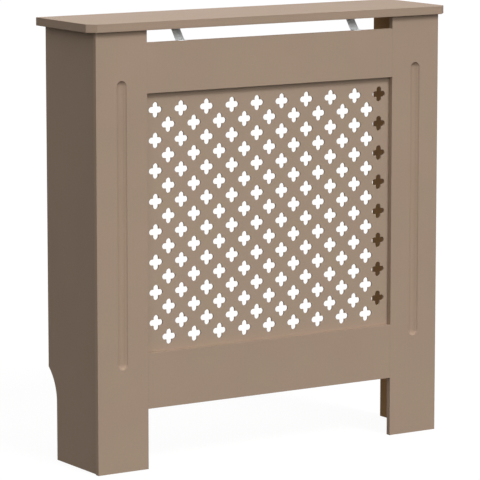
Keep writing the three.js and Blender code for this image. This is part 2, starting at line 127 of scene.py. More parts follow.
def shaded(colour: Colour, share: float) -> Tone:
    """A colour made lighter or darker by a share of itself, with full alpha."""
    return (*(channel * share for channel in colour), 1.0)


def grey(level: float) -> Tone:
    """A grey of the given level, with full alpha."""
    return (level, level, level, 1.0)


# ---------------- modelling helpers
VertTest = Callable[[Vector], bool]
EdgeTest = Callable[[Vector, Vector], bool]
READERS = {
    "VERT": ("verts", lambda vert: (vert.co,)),
    "EDGE": ("edges", lambda edge: (edge.verts[0].co, edge.verts[1].co)),
    "FACE": ("faces", lambda face: (face.calc_center_median(), face.normal)),
}


@dataclass(frozen=True)
class Box:
    """The lowest and highest corner of a node or of a piece."""

    lo: Vector
    hi: Vector

    @classmethod
    def of(cls, node: str) -> "Box":
        """The box of a node of the frame."""
        return cls(*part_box(node))

    @property
    def centre(self) -> Vector:
        """The middle of the box."""
        return (self.lo + self.hi) / 2

    @property
    def size(self) -> Vector:
        """The three edge lengths."""
        return self.hi - self.lo


def deselect_all() -> None:
    """Leaves nothing selected, in object mode."""
    if bpy.context.object and bpy.context.object.mode != "OBJECT":
        bpy.ops.object.mode_set(mode="OBJECT")
    bpy.ops.object.select_all(action="DESELECT")


def pick(*pieces: Piece) -> None:
    """Selects these pieces only, and makes the last one active."""
    deselect_all()
    for piece in pieces:
        piece.select_set(True)
    bpy.context.view_layer.objects.active = pieces[-1]


def named(piece: Piece, name: str) -> Piece:
    """Gives an object and its mesh the same name."""
    piece.name = name
    piece.data.name = name
    return piece


def settle(piece: Piece, name: str) -> Piece:
    """Names a new primitive and moves its place into its mesh.

    Args:
        piece: the object that an operator has just added.
        name: its new name.

    Returns:
        The same object, at the origin, unturned and unscaled.
    """
    pick(piece)
    bpy.ops.object.transform_apply(location=True, rotation=True, scale=True)
    return named(piece, name)


def block(name: str, lo: Vector, hi: Vector) -> Piece:
    """Adds a block between two corners."""
    deselect_all()
    lo, hi = Vector(lo), Vector(hi)
    bpy.ops.mesh.primitive_cube_add(size=1, location=(lo + hi) / 2, scale=hi - lo)
    return settle(bpy.context.object, name)


def rod(name: str, radius: float, lo: Vector, hi: Vector, facets: int = 64) -> Piece:
    """Adds a round bar from one point to another.

    Args:
        name: the bar's name.
        radius: its radius.
        lo: the middle of one end.
        hi: the middle of the other end.
        facets: how many flats the round has.

    Returns:
        The bar.
    """
    deselect_all()
    lo, hi = Vector(lo), Vector(hi)
    bpy.ops.mesh.primitive_cylinder_add(
        vertices=facets,
        radius=radius,
        depth=(hi - lo).length,
        location=(lo + hi) / 2,
        rotation=(hi - lo).to_track_quat("Z", "Y").to_euler(),
    )
    return settle(bpy.context.object, name)


@contextmanager
def editing(piece: Piece, mode: str, test: Callable[..., bool] | None = None) -> Iterator[None]:
    """Opens a piece in edit mode, selects what passes a test, and closes it again.

    Args:
        piece: the object to edit.
        mode: VERT, EDGE or FACE, the kind of element that is selected.
        test: takes what READERS gives for that kind. Without it nothing is selected.

    Yields:
        Nothing.
    """
    pick(piece)
    bpy.ops.object.mode_set(mode="EDIT")
    bpy.ops.mesh.select_mode(type=mode)
    bpy.ops.mesh.select_all(action="DESELECT")
    if test:
        mesh = bmesh.from_edit_mesh(piece.data)
        mesh.normal_update()
        kind, read = READERS[mode]
        for element in getattr(mesh, kind):
            if test(*read(element)):
                element.select_set(True)
        mesh.select_flush_mode()
        bmesh.update_edit_mesh(piece.data)
    yield
    bpy.ops.object.mode_set(mode="OBJECT")


def behind(place: float) -> EdgeTest:
    """A test for the edges that lie at this Y or further back."""
    return lambda a, b: min(a.y, b.y) > place - NEAR


def draw_out(piece: Piece, test: EdgeTest, step: Sequence[float]) -> None:
    """Draws the edges that pass the test out by one straight step."""
    with editing(piece, "EDGE", test):
        bpy.ops.mesh.extrude_region_move(TRANSFORM_OT_translate={"value": tuple(step)})


def bend_round(
    piece: Piece,
    test: EdgeTest,
    centre: Sequence[float],
    axis: Sequence[float],
    angle: float,
    steps: int,
) -> None:
    """Sweeps the edges that pass the test round an axis.

    Args:
        piece: the object.
        test: which edges are swept.
        centre: a point on the axis.
        axis: the way that the axis runs.
        angle: how far they turn, positive against the right-hand rule.
        steps: how many flats the bend has.
    """
    with editing(piece, "EDGE", test):
        bpy.ops.mesh.spin(steps=steps, angle=angle, center=centre, axis=axis)


def round_corners(piece: Piece, test: VertTest, radius: float, segments: int) -> None:
    """Rounds a flat sheet's corners.

    Args:
        piece: the object, still without thickness.
        test: which corners are rounded.
        radius: how far the rounding reaches along each side.
        segments: how many flats each corner has.
    """
    with editing(piece, "VERT", test):
        bpy.ops.mesh.bevel(offset=radius, segments=segments, affect="VERTICES")
        bpy.ops.mesh.select_all(action="SELECT")
        bpy.ops.mesh.remove_doubles(threshold=MERGE)


def apply_modifier(piece: Piece, kind: str, **settings: object) -> None:
    """Adds one modifier to a piece and applies it.

    Args:
        piece: the object.
        kind: the modifier's type.
        **settings: its settings, by name.
    """
    pick(piece)
    modifier = piece.modifiers.new(kind.lower(), kind)
    for name, value in settings.items():
        setattr(modifier, name, value)
    bpy.ops.object.modifier_apply(modifier=modifier.name)


def cut(piece: Piece, *cutters: Piece) -> None:
    """Cuts each cutter out of a piece, and throws the cutters away."""
    for cutter in cutters:
        apply_modifier(piece, "BOOLEAN", operation="DIFFERENCE", solver="EXACT", object=cutter)
        bpy.data.meshes.remove(cutter.data)


def ease(piece: Piece, width: float, segments: int = 2) -> None:
    """Rounds a piece's sharp edges by a small width."""
    apply_modifier(
        piece,
        "BEVEL",
        width=width,
        segments=segments,
        limit_method="ANGLE",
        angle_limit=EASE_LIMIT,
        use_clamp_overlap=True,
    )


def join(name: str, pieces: Sequence[Piece]) -> Piece:
    """Joins several pieces into one of the given name."""
    pick(*pieces)
    if len(pieces) > 1:
        bpy.ops.object.join()
    return named(bpy.context.object, name)


def copy_of(piece: Piece, name: str) -> Piece:
    """Copies a piece together with its mesh."""
    pick(piece)
    bpy.ops.object.duplicate(linked=False)
    return named(bpy.context.object, name)


def mirrored(piece: Piece, name: str) -> Piece:
    """Copies a piece to the other side of the cover, with its faces pointing out."""
    twin = copy_of(piece, name)
    twin.scale.x = -1
    pick(twin)
    bpy.ops.object.transform_apply(location=True, rotation=True, scale=True)
    with editing(twin, "FACE"):
        bpy.ops.mesh.select_all(action="SELECT")
        bpy.ops.mesh.normals_make_consistent(inside=False)
    return twin


def coat(piece: Piece, material: Material) -> None:
    """Puts one material on all of a piece's faces."""
    piece.data.materials.clear()
    piece.data.materials.append(material)


def dress(piece: Piece, node: str, material: Material) -> None:
    """Finishes a piece: its material, its body, and the node that it stands for.

    Args:
        piece: the finished mesh object.
        node: the node that it replaces.
        material: its finish.
    """
    pick(piece)
    bpy.ops.object.shade_smooth_by_angle(angle=SMOOTH_LIMIT)
    coat(piece, material)
    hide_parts(node)
    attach(piece, "root")


def dress_pair(right: Piece, node: str, material: Material) -> None:
    """Copies a finished right-hand piece to the left, and dresses both.

    Args:
        right: the piece, with a name that ends in right.
        node: the name that both nodes share, without their hand.
        material: their finish.
    """
    left = mirrored(right, right.name.replace("right", "left"))
    dress(right, f"{node}_right", material)
    dress(left, f"{node}_left", material)


# ---------------- finishes
class NodeBench:
    """Builds one node tree, node by node."""

    def __init__(self, tree: bpy.types.NodeTree) -> None:
        """Clears the tree."""
        self.nodes = tree.nodes
        self.links = tree.links
        self.nodes.clear()

    def fill(self, node: bpy.types.Node, values: dict[int | str, object]) -> None:
        """Gives a node's inputs, by name or number, a link or a plain value each."""
        for key, value in values.items():
            if isinstance(value, Socket):
                self.links.new(value, node.inputs[key])
            else:
                node.inputs[key].default_value = value

    def add(self, kind: str, values: dict[int | str, object] | None = None) -> bpy.types.Node:
        """Adds a node of the given type and fills its inputs."""
        node = self.nodes.new(kind)
        self.fill(node, values or {})
        return node

    def math(self, operation: str, first: object, second: object = 0.0) -> Socket:
        """One sum on two values, each a socket or a number."""
        node = self.add("ShaderNodeMath", {0: first, 1: second})
        node.operation = operation
        return node.outputs[0]

    def show(self, output: str, hidden: Socket, seen: Socket) -> None:
        """Closes the tree with one shader that gives light and another that is seen.

        Args:
            output: the output node's type.
            hidden: the shader that only lights the object.
            seen: the shader for camera, glossy and transmission rays.
        """
        path = self.add("ShaderNodeLightPath")
        direct = path.outputs["Is Camera Ray"]
        for name in ("Is Glossy Ray", "Is Transmission Ray"):
            direct = self.math("MAXIMUM", direct, path.outputs[name])
        mix = self.add("ShaderNodeMixShader", {0: direct, 1: hidden, 2: seen})
        self.add(output, {"Surface": mix.outputs[0]})


class ShaderBench(NodeBench):
    """Builds one node material for the cover."""

    def __init__(self, name: str) -> None:
        """Starts an empty material of the given name."""
        self.material = bpy.data.materials.new(name)
        self.material.use_nodes = True
        super().__init__(self.material.node_tree)
        self.place = self.add("ShaderNodeTexCoord").outputs["Object"]

    def along(self, vector: Socket, axis: Axis) -> Socket:
        """A vector's share along one axis."""
        return self.add("ShaderNodeSeparateXYZ", {0: vector}).outputs[axis.value]

    def facing(self, axis: Axis) -> Socket:
        """How far the face's true normal points along one axis."""
        geometry = self.add("ShaderNodeNewGeometry")
        return self.along(geometry.outputs["True Normal"], axis)

    def noise(
        self,
        scale: float,
        detail: float = 3.0,
        roughness: float = 0.55,
        stretch: Sequence[float] = (1, 1, 1),
    ) -> Socket:
        """Adds a noise pattern.

        Args:
            scale: how many features there are to a metre.
            detail: how many finer layers it has.
            roughness: how strong the finer layers are.
            stretch: a factor for each axis.

        Returns:
            The pattern's value, about 0.5.
        """
        mapping = self.add("ShaderNodeMapping", {"Vector": self.place, "Scale": stretch})
        values = {"Scale": scale, "Detail": detail, "Roughness": roughness}
        node = self.add("ShaderNodeTexNoise", {"Vector": mapping.outputs[0], **values})
        return node.outputs["Fac"]

    def ramp(self, value: Socket, stops: Stops) -> Socket:
        """A colour ramp read at a value.

        Args:
            value: the place on the ramp, from 0 to 1.
            stops: each stop's place and colour, in order.

        Returns:
            The colour.
        """
        node = self.add("ShaderNodeValToRGB", {"Fac": value})
        elements = node.color_ramp.elements
        while len(elements) < len(stops):
            elements.new(0.5)
        for element, (place, colour) in zip(elements, stops):
            element.position = place
            element.color = colour
        return node.outputs["Color"]

    def mix(self, share: object, first: Socket, second: Socket, blend: str = "MIX") -> Socket:
        """Blends two colours.

        Args:
            share: how much of the second there is, a socket or a number.
            first: the first colour.
            second: the second colour.
            blend: the blend type.

        Returns:
            The blended colour.
        """
        node = self.add("ShaderNodeMix")
        node.data_type = "RGBA"
        node.blend_type = blend
        self.fill(node, {0: share, 6: first, 7: second})
        return node.outputs[2]

    def layered(self, base: Socket, *layers: Socket) -> Socket:
        """A colour multiplied by each layer in turn."""
        for layer in layers:
            base = self.mix(1.0, base, layer, "MULTIPLY")
        return base

    def spread(self, value: Socket, low: float, high: float) -> Socket:
        """Carries a pattern's middle range, 0.3 to 0.7, over to low to high."""
        node = self.add("ShaderNodeMapRange", {0: value, 1: 0.3, 2: 0.7, 3: low, 4: high})
        return node.outputs["Result"]

    def bump(self, height: Socket, strength: float, distance: float) -> Socket:
        """A normal bent by a height pattern.

        Args:
            height: the pattern.
            strength: its share, from 0 to 1.
            distance: the height of a full step, in metres.

        Returns:
            The bent normal.
        """
        values = {"Height": height, "Strength": strength, "Distance": distance}
        return self.add("ShaderNodeBump", values).outputs["Normal"]

    def surface(
        self,
        colour: Socket,
        roughness: Socket,
        normal: Socket,
        metallic: float = 0.0,
        specular: float = 0.3,
    ) -> Material:
        """Closes the material with one surface shader.

        Args:
            colour: the base colour.
            roughness: the roughness.
            normal: the bent normal.
            metallic: 0 for board and wood, near 1 for bare metal.
            specular: the specular level.

        Returns:
            The finished material.
        """
        values = {
            "Base Color": colour,
            "Metallic": metallic,
            "Roughness": roughness,
            "Normal": normal,
            "Specular IOR Level": specular,
        }
        shader = self.add("ShaderNodeBsdfPrincipled", values)
        self.add("ShaderNodeOutputMaterial", {"Surface": shader.outputs["BSDF"]})
        return self.material


@dataclass(frozen=True)
class BoardFinish:
    """Raw fibreboard: sanded faces, and sawn edges with a looser core between dense skins; on the
    frame the edges' lighter tone is partly painted light.
    """

    name: str
    face: Colour
    thickness_axis: Axis
    core: float
    thickness: float
    mirrored: bool = False
    # painted warm shade for the side boards' inner faces, standing in for light bounced inside the
    # cover
    painted_inner_bounce: Tone = (1.1, 0.88, 0.54, 1.0)
    # share of the face colour on edges; the frame's larger share is partly the sawn edges' own
    # tone, partly painted light on its reveals and flute walls
    edge_share: float = 0.98
    core_gain: float = 0.015
    core_reach: float = 0.55
    skin_loss: float = 0.05
    # slopes over about 37 degrees count as edges, so the flutes' walls and ends take the edge tone,
    # a painted highlight on their up-facing low ends
    square_on: float = 0.8
    cloud: float = 0.02
    cloud_scale: float = 7
    fibre: float = 0.05
    fibre_scale: float = 420
    fleck: Tone = (0.72, 0.68, 0.64, 1)
    fleck_scale: float = 1500
    tints: Stops = ((0.36, (1.0, 0.982, 0.992, 1.0)), (0.64, (0.983, 0.992, 0.968, 1.0)))
    tint_scale: float = 13
    face_fuzz: float = 0.35
    gloss: tuple[float, float] = (0.72, 0.9)

    def make(self) -> Material:
        """Builds the material."""
        bench = ShaderBench(self.name)
        fibres = bench.noise(self.fibre_scale, detail=5, roughness=0.62)
        flecks = bench.noise(self.fleck_scale, detail=2, roughness=0.7)
        deep, pale = shaded(self.face, 1 - self.cloud), shaded(self.face, 1 + self.cloud)
        face = bench.layered(
            bench.ramp(bench.noise(self.cloud_scale, detail=2.5), ((0.3, deep), (0.7, pale))),
            bench.ramp(fibres, ((0.28, grey(1 - self.fibre)), (0.72, grey(1)))),
            bench.ramp(flecks, ((0.27, self.fleck), (0.36, grey(1)))),
            bench.ramp(bench.noise(self.tint_scale, detail=2), self.tints),
        )
        sawn, depth = self._edge(bench)
        rim = bench.ramp(
            depth,
            (
                (0.0, grey(self.edge_share + self.core_gain)),
                (self.core_reach, grey(self.edge_share)),
                (1.0, grey(self.edge_share - self.skin_loss)),
            ),
        )
        colour = bench.mix(sawn, face, bench.layered(face, rim))
        # the side boards' inner faces get a painted warm shade of bounced light
        if self.mirrored:
            colour = bench.layered(colour, self._painted_inner_bounce(bench))
        fuzz = bench.math("MULTIPLY", flecks, bench.math("ADD", sawn, self.face_fuzz))
        height = bench.math("ADD", fibres, fuzz)
        normal = bench.bump(height, strength=0.22, distance=0.25 * MM)
        return bench.surface(colour, bench.spread(fibres, *self.gloss), normal, specular=0.15)

    def _edge(self, bench: ShaderBench) -> tuple[Socket, Socket]:
        """Finds the board's edges.

        Args:
            bench: the material in hand.

        Returns:
            A mask that is 1 on the edges, and how near to a skin a point is, from 0 to 1.
        """
        facing = bench.math("ABSOLUTE", bench.facing(self.thickness_axis))
        sawn = bench.math("LESS_THAN", facing, self.square_on)
        along = bench.along(bench.place, self.thickness_axis)
        if self.mirrored:
            along = bench.math("ABSOLUTE", along)
        off_core = bench.math("ABSOLUTE", bench.math("SUBTRACT", along, self.core))
        return sawn, bench.math("DIVIDE", off_core, self.thickness / 2)

    def _painted_inner_bounce(self, bench: ShaderBench) -> Socket:
        """A painted warm shade on the faces that look to the middle of the cover, standing in for
        light bounced inside it.

        Args:
            bench: the material in hand.

        Returns:
            The painted shade on those faces, and white on all others.
        """
        side = bench.math("SIGN", bench.along(bench.place, self.thickness_axis))
        outward = bench.math("MULTIPLY", bench.facing(self.thickness_axis), side)
        inner = bench.math("LESS_THAN", outward, -self.square_on)
        return bench.ramp(inner, ((0.0, grey(1)), (1.0, self.painted_inner_bounce)))


@dataclass(frozen=True)
class TimberFinish:
    """Planed wood with grain along the frame's Z axis, or across it for a dowel."""

    name: str
    light: Colour
    dark: Colour
    along: Axis = Axis.Z
    ring_scale: float = 190.0
    pore_scale: float = 1400.0
    pore: Tone = (0.86, 0.83, 0.78, 1)
    grain_stretch: float = 0.05

    def make(self) -> Material:
        """Builds the material."""
        bench = ShaderBench(self.name)
        lengthways = [1.0, 1.0, 1.0]
        lengthways[self.along.value] = self.grain_stretch
        rings = bench.noise(self.ring_scale, detail=2, stretch=lengthways)
        fine = bench.noise(self.pore_scale, detail=4, roughness=0.65, stretch=lengthways)
        figure = bench.ramp(
            rings,
            (
                (0.34, shaded(self.dark, 1)),
                (0.5, shaded(self.light, 0.97)),
                (0.66, shaded(self.light, 1.04)),
            ),
        )
        colour = bench.layered(figure, bench.ramp(fine, ((0.3, self.pore), (0.5, grey(1)))))
        normal = bench.bump(fine, strength=0.25, distance=0.2 * MM)
        return bench.surface(colour, bench.spread(fine, 0.6, 0.8), normal)


@dataclass(frozen=True)
class MetalFinish:
    """Plated or cast metal: a clouded colour, fine scratches and uneven shine."""

    name: str
    colour: Colour
    metallic: float
    smooth: float
    rough: float
    mottle: float = 90.0
    line_scale: float = 2600.0
    scratch: Sequence[float] = (1, 1, 0.08)

    def make(self) -> Material:
        """Builds the material."""
        bench = ShaderBench(self.name)
        clouds = bench.noise(self.mottle, detail=4, roughness=0.6)
        lines = bench.noise(self.line_scale, stretch=self.scratch)
        dull, bright = shaded(self.colour, 0.86), shaded(self.colour, 1.1)
        colour = bench.layered(
            bench.ramp(clouds, ((0.32, dull), (0.68, bright))),
            bench.ramp(lines, ((0.3, grey(0.88)), (0.6, grey(1)))),
        )
        roughness = bench.spread(clouds, self.smooth, self.rough)
        normal = bench.bump(lines, strength=0.12, distance=0.05 * MM)
        return bench.surface(colour, roughness, normal, self.metallic, specular=0.5)


FACE_COLOUR = from_hex(0xA18C7A)
SHEET_COLOUR = from_hex(0xA28E7C)


class Finishes:
    """The cover's materials, made once each."""

    def __init__(self) -> None:
        """Builds every material, with the boards' cores taken from the frame."""
        top, side = Box.of("top_panel"), Box.of("side_panel_right")
        rail, sheet = Box.of("upper_rail"), Box.of("grille_panel")
        self.shelf = self._board("shelf_board", top, Axis.Z)
        self.side = self._board("side_board", side, Axis.X, mirrored=True)
        # frame edges 1.1 times lighter: partly the sawn edges' own tone, partly painted light on
        # the window reveals and the flutes' walls and ends
        self.frame = self._board("frame_board", rail, Axis.Y, edge_share=1.1)
        self.sheet = self._board("grille_board", sheet, Axis.Y, colour=SHEET_COLOUR)
        self.batten = TimberFinish("batten_softwood", from_hex(0xD3B88A), from_hex(0xB8925F)).make()
        self.dowel = TimberFinish(
            "dowel_beech", from_hex(0xC9A878), from_hex(0xB48F60), Axis.X, ring_scale=260.0
        ).make()
        # near-white with little metal: painted reflection and light, so the shaded straps look as
        # bright as plated steel; the brackets share it
        self.strap = MetalFinish(
            "strap_zinc_painted_reflection",
            from_hex(0xE6EAEA),
            metallic=0.12,
            smooth=0.42,
            rough=0.58,
            scratch=(1, 0.1, 0.1),
        ).make()
        self.screw = MetalFinish(
            "screw_zinc", from_hex(0xB4B8B8), metallic=0.9, smooth=0.25, rough=0.42
        ).make()
        self.cam = MetalFinish(
            "cam_alloy", from_hex(0x9B9FA1), metallic=0.85, smooth=0.45, rough=0.62, mottle=260.0
        ).make()

    def _board(
        self,
        name: str,
        box: Box,
        axis: Axis,
        colour: Colour = FACE_COLOUR,
        **details: object,
    ) -> Material:
        """One fibreboard material for boards that lie the same way.

        Args:
            name: the material's name.
            box: the box of one of the boards.
            axis: the axis of the boards' thickness.
            colour: the colour of their faces.
            **details: other fields of the finish.

        Returns:
            The material.
        """
        return BoardFinish(
            name=name,
            face=colour,
            thickness_axis=axis,
            core=box.centre[axis.value],
            thickness=box.size[axis.value],
            **details,
        ).make()


# ---------------- the shelf
@dataclass
class Shelf:
    """The top panel, with both front corners clipped."""

    corner_clip: float = 15 * MM
    arris: float = 0.5 * MM

    def build(self, finishes: Finishes) -> None:
        """Models and dresses the top panel."""
        box = Box.of("top_panel")
        board = block("shelf_board", box.lo, box.hi)
        with editing(board, "EDGE", lambda a, b: max(a.y, b.y) < 0 and abs(a.z - b.z) > MM):
            bpy.ops.mesh.bevel(offset=self.corner_clip, segments=1, affect="EDGES")
        ease(board, self.arris)
        dress(board, "top_panel", finishes.shelf)


# ---------------- the side panels
@dataclass
class SidePanels:
    """The two sides, each with a notch for the skirting board and pockets for two cams."""

    notch_depth: float = 30 * MM
    notch_straight: float = 108 * MM
    notch_radius: float = 80 * MM
    pocket_radius: float = 8.1 * MM
    pocket_depth: float = 12.5 * MM
    arris: float = 0.4 * MM
    overcut: float = 2 * MM
    arc_facets: int = 256

    def build(self, finishes: Finishes) -> None:
        """Models the right panel, mirrors it, and dresses both."""
        box = Box.of("side_panel_right")
        right = block("side_board_right", box.lo, box.hi)
        cut(right, *self._notch(box), *self._pockets(box))
        ease(right, self.arris)
        dress_pair(right, "side_panel", finishes.side)

    def _notch(self, box: Box) -> list[Piece]:
        """The cutters of the notch: its upright part, and the arc above it."""
        near, far = box.lo.x - self.overcut, box.hi.x + self.overcut
        front = box.hi.y - self.notch_depth
        foot = block(
            "notch_foot",
            Vector((near, front, box.lo.z - self.overcut)),
            Vector((far, box.hi.y + self.overcut, self.notch_straight)),
        )
        middle = front + self.notch_radius
        arc = rod(
            "notch_arc",
            self.notch_radius,
            Vector((near, middle, self.notch_straight)),
            Vector((far, middle, self.notch_straight)),
            self.arc_facets,
        )
        return [foot, arc]

    def _pockets(self, box: Box) -> list[Piece]:
        """The cutters of the two cam pockets, in the panel's inner face."""
        cutters = []
        for spot in SPOTS:
            cam = Box.of(f"cam_right_{spot}").centre
            mouth = Vector((box.lo.x - self.overcut, cam.y, cam.z))
            floor = Vector((box.lo.x + self.pocket_depth, cam.y, cam.z))
            cutters.append(rod(f"pocket_{spot}", self.pocket_radius, mouth, floor))
        return cutters


# ---------------- the front frame
@dataclass
class FrontFrame:
    """Two fluted stiles and the two rails between them."""

    flute_width: float = 21 * MM
    flute_depth: float = 6 * MM
    flute_low_end: float = 188.5 * MM
    flute_top_margin: float = 88.5 * MM
    nose_facets: int = 72
    arris: float = 0.3 * MM

    def build(self, finishes: Finishes) -> None:
        """Models and dresses the stiles and rails."""
        box = Box.of("stile_right")
        right = block("stile_board_right", box.lo, box.hi)
        cut(right, self._flute(box))
        ease(right, self.arris)
        dress_pair(right, "stile", finishes.frame)
        for rail in ("upper_rail", "lower_rail"):
            span = Box.of(rail)
            board = block(f"{rail}_board", span.lo, span.hi)
            ease(board, self.arris)
            dress(board, rail, finishes.frame)

    def _flute(self, box: Box) -> Piece:
        """The round-nosed cutter that leaves one flute in a stile's face."""
        radius = (self.flute_width**2 / 4 + self.flute_depth**2) / (2 * self.flute_depth)
        high = box.hi.z - self.flute_top_margin
        straight = high - self.flute_low_end - self.flute_width
        axis_y = box.lo.y + self.flute_depth - radius
        low_middle = Vector((box.centre.x, axis_y, self.flute_low_end + self.flute_width / 2))
        deselect_all()
        bpy.ops.mesh.primitive_uv_sphere_add(
            segments=self.nose_facets,
            ring_count=self.nose_facets // 2,
            radius=radius,
            location=low_middle,
        )
        nose = settle(bpy.context.object, "flute_nose")
        equator = low_middle.z
        with editing(nose, "FACE", lambda middle, normal: middle.z > equator):
            bpy.ops.mesh.split()
            bpy.ops.transform.translate(value=(0, 0, straight))
        with editing(nose, "EDGE"):
            bpy.ops.mesh.select_non_manifold()
            bpy.ops.mesh.bridge_edge_loops()
        return nose


# ---------------- the perforated sheet
@dataclass
class Grille:
    """The sheet behind the window, perforated with rows of round-ended crosses."""

    hole_size: float = 28 * MM
    hole_arm: float = 11 * MM
    hole_pitch: float = 54.4 * MM
    row_step: float = 27.7 * MM
    side_margin: float = 8 * MM
    top_margin: float = 17.5 * MM
    bottom_margin: float = 10 * MM
    tip_segments: int = 7
    arris: float = 0.25 * MM
    overcut: float = 1 * MM

    def build(self, finishes: Finishes) -> None:
        """Models and dresses the sheet."""
        box = Box.of("grille_panel")
        sheet = block("grille_sheet", box.lo, box.hi)
        ease(sheet, self.arris)
        cut(sheet, self._holes(box))
        dress(sheet, "grille_panel", finishes.sheet)

    def _cross(self, box: Box, middle: Vector) -> Piece:
        """One cross-shaped cutter through the sheet.

        Args:
            box: the sheet's box.
            middle: the hole's centre.

        Returns:
            The cutter.
        """
        arm, reach = self.hole_arm / 2, (self.hole_size - self.hole_arm) / 2
        near, far = box.lo.y - self.overcut, box.hi.y + self.overcut
        deselect_all()
        bpy.ops.mesh.primitive_plane_add(
            size=self.hole_arm,
            location=(middle.x, near, middle.z),
            rotation=(QUARTER_TURN, 0, 0),
        )
        cross = settle(bpy.context.object, "cross_cutter")
        for across, up in ((1, 0), (-1, 0), (0, 1), (0, -1)):
            draw_out(
                cross,
                lambda a, b: all(
                    across * (p.x - middle.x) + up * (p.z - middle.z) > arm - NEAR
                    and abs(up * (p.x - middle.x) + across * (p.z - middle.z)) < arm + NEAR
                    for p in (a, b)
                ),
                (across * reach, 0, up * reach),
            )
        tip = self.hole_size / 2 - NEAR
        round_corners(
            cross,
            lambda p: abs(p.x - middle.x) > tip or abs(p.z - middle.z) > tip,
            arm,
            self.tip_segments,
        )
        with editing(cross, "FACE"):
            bpy.ops.mesh.select_all(action="SELECT")
            bpy.ops.mesh.extrude_region_move(TRANSFORM_OT_translate={"value": (0, far - near, 0)})
            bpy.ops.mesh.select_all(action="SELECT")
            bpy.ops.mesh.normals_make_consistent(inside=False)
        return cross

    def _holes(self, box: Box) -> Piece:
        """All the holes' cutters as one object: wide rows, and narrow rows between them."""
        window_top = Box.of("upper_rail").lo.z
        window_bottom = Box.of("lower_rail").hi.z
        half = Box.of("upper_rail").hi.x
        space_x = 2 * (half - self.side_margin) - self.hole_size
        space_z = window_top - window_bottom - self.top_margin - self.bottom_margin
        widest = int(space_x / self.hole_pitch) + 1
        rows = int((space_z - self.hole_size) / self.row_step) + 1
        first = window_top - self.top_margin - self.hole_size / 2
        sets = []
        along, down = (self.hole_pitch, 0, 0), (0, 0, -2 * self.row_step)
        for start, columns, count in ((0, widest, (rows + 1) // 2), (1, widest - 1, rows // 2)):
            left = -(columns - 1) / 2 * self.hole_pitch
            corner = Vector((left, box.centre.y, first - start * self.row_step))
            cross = self._cross(box, corner)
            for number, step in ((columns, along), (count, down)):
                apply_modifier(
                    cross,
                    "ARRAY",
                    count=number,
                    use_relative_offset=False,
                    use_constant_offset=True,
                    constant_offset_displace=step,
                )
            sets.append(cross)
        return join("hole_cutters", sets)


# ---------------- screws
@dataclass
class Screws:
    """Pan head screws with a cross recess, modelled once for each length."""

    head_radius: float = 3 * MM
    head_height: float = 1.2 * MM
    core_radius: float = 1.4 * MM
    crown: float = 0.75 * MM
    recess_reach: float = 1.75 * MM
    recess_width: float = 0.75 * MM
    recess_depth: float = 0.75 * MM
    tip_share: float = 0.08
    head_facets: int = 32
    crown_steps: int = 4
    masters: dict[int, Piece] = field(default_factory=dict)

    def build(self, finishes: Finishes) -> None:
        """Models and dresses every screw of the cover."""
        for node, way in self._places():
            self._drive(node, way, finishes)
        for master in self.masters.values():
            bpy.data.meshes.remove(master.data)

    def _places(self) -> list[tuple[str, Way]]:
        """Each screw's node and the way that it points."""
        spots = [f"{hand}_{level}" for hand in HANDS for level in LEVELS]
        spots += [f"{edge}_{hand}" for edge in ("top", "bottom") for hand in HANDS]
        places = [(f"grille_screw_{spot}", Way.FRONT) for spot in spots]
        for hand in HANDS:
            outward = Way.LEFT if hand == "left" else Way.RIGHT
            places.append((f"brace_rail_screw_{hand}", Way.DOWN))
            places.append((f"brace_top_screw_{hand}", Way.UP))
            for level in LEVELS:
                places.append((f"batten_side_screw_{hand}_{level}", outward))
                places.append((f"batten_stile_screw_{hand}_{level}", Way.FRONT))
                places.append((f"bracket_screw_{hand}_{level}", outward))
        return places

    def _drive(self, node: str, way: Way, finishes: Finishes) -> None:
        """Sets one screw in its node's place.

        Args:
            node: the screw's node.
            way: the way that it points.
            finishes: the cover's materials.
        """
        box = Box.of(node)
        reach = abs(box.size.dot(way.vector))
        shank = reach - self.head_height
        key = round(shank / MM * 10)  # lengths are told apart to a tenth of a millimetre
        if key not in self.masters:
            self.masters[key] = self._model(shank)
        screw = copy_of(self.masters[key], f"{node}_steel")
        seat = box.centre - way.vector * (reach / 2 - self.head_height)
        screw.rotation_euler = (-way.vector).to_track_quat("Z", "Y").to_euler()
        screw.location = seat
        settle(screw, f"{node}_steel")
        dress(screw, node, finishes.screw)

    def _model(self, shank: float) -> Piece:
        """One screw, head up, with the seat of its head at the origin.

        Args:
            shank: the length under the head.

        Returns:
            The screw.
        """
        top = self.head_height
        crown = Vector((0, 0, top))
        screw = rod("screw_master", self.head_radius, Vector(), crown, self.head_facets)
        with editing(screw, "EDGE", lambda a, b: min(a.z, b.z) > top - NEAR):
            bpy.ops.mesh.bevel(offset=self.crown, segments=self.crown_steps, affect="EDGES")
        with editing(screw, "FACE", lambda middle, normal: normal.z < -SQUARE_ON):
            bpy.ops.mesh.inset(thickness=self.head_radius - self.core_radius)
            point = 2 * self.core_radius
            for drop in (shank - point, point):
                bpy.ops.mesh.extrude_region_move(TRANSFORM_OT_translate={"value": (0, 0, -drop)})
            bpy.ops.transform.resize(value=(self.tip_share, self.tip_share, 1))
        long, short = self.recess_reach, self.recess_width / 2
        for across, along in ((long, short), (short, long)):
            low = Vector((-across, -along, top - self.recess_depth))
            high = Vector((across, along, top + self.recess_depth))
            cut(screw, block("recess_cutter", low, high))
        return screw


# ---------------- corner battens
@dataclass
class Battens:
    """The softwood battens that join the stiles to the side panels."""

    arris: float = 1.0 * MM

    def build(self, finishes: Finishes) -> None:
        """Models and dresses both battens."""
        for hand in HANDS:
            node = f"corner_batten_{hand}"
            box = Box.of(node)
            bar = block(f"{node}_timber", box.lo, box.hi)
            ease(bar, self.arris, segments=3)
            dress(bar, node, finishes.batten)


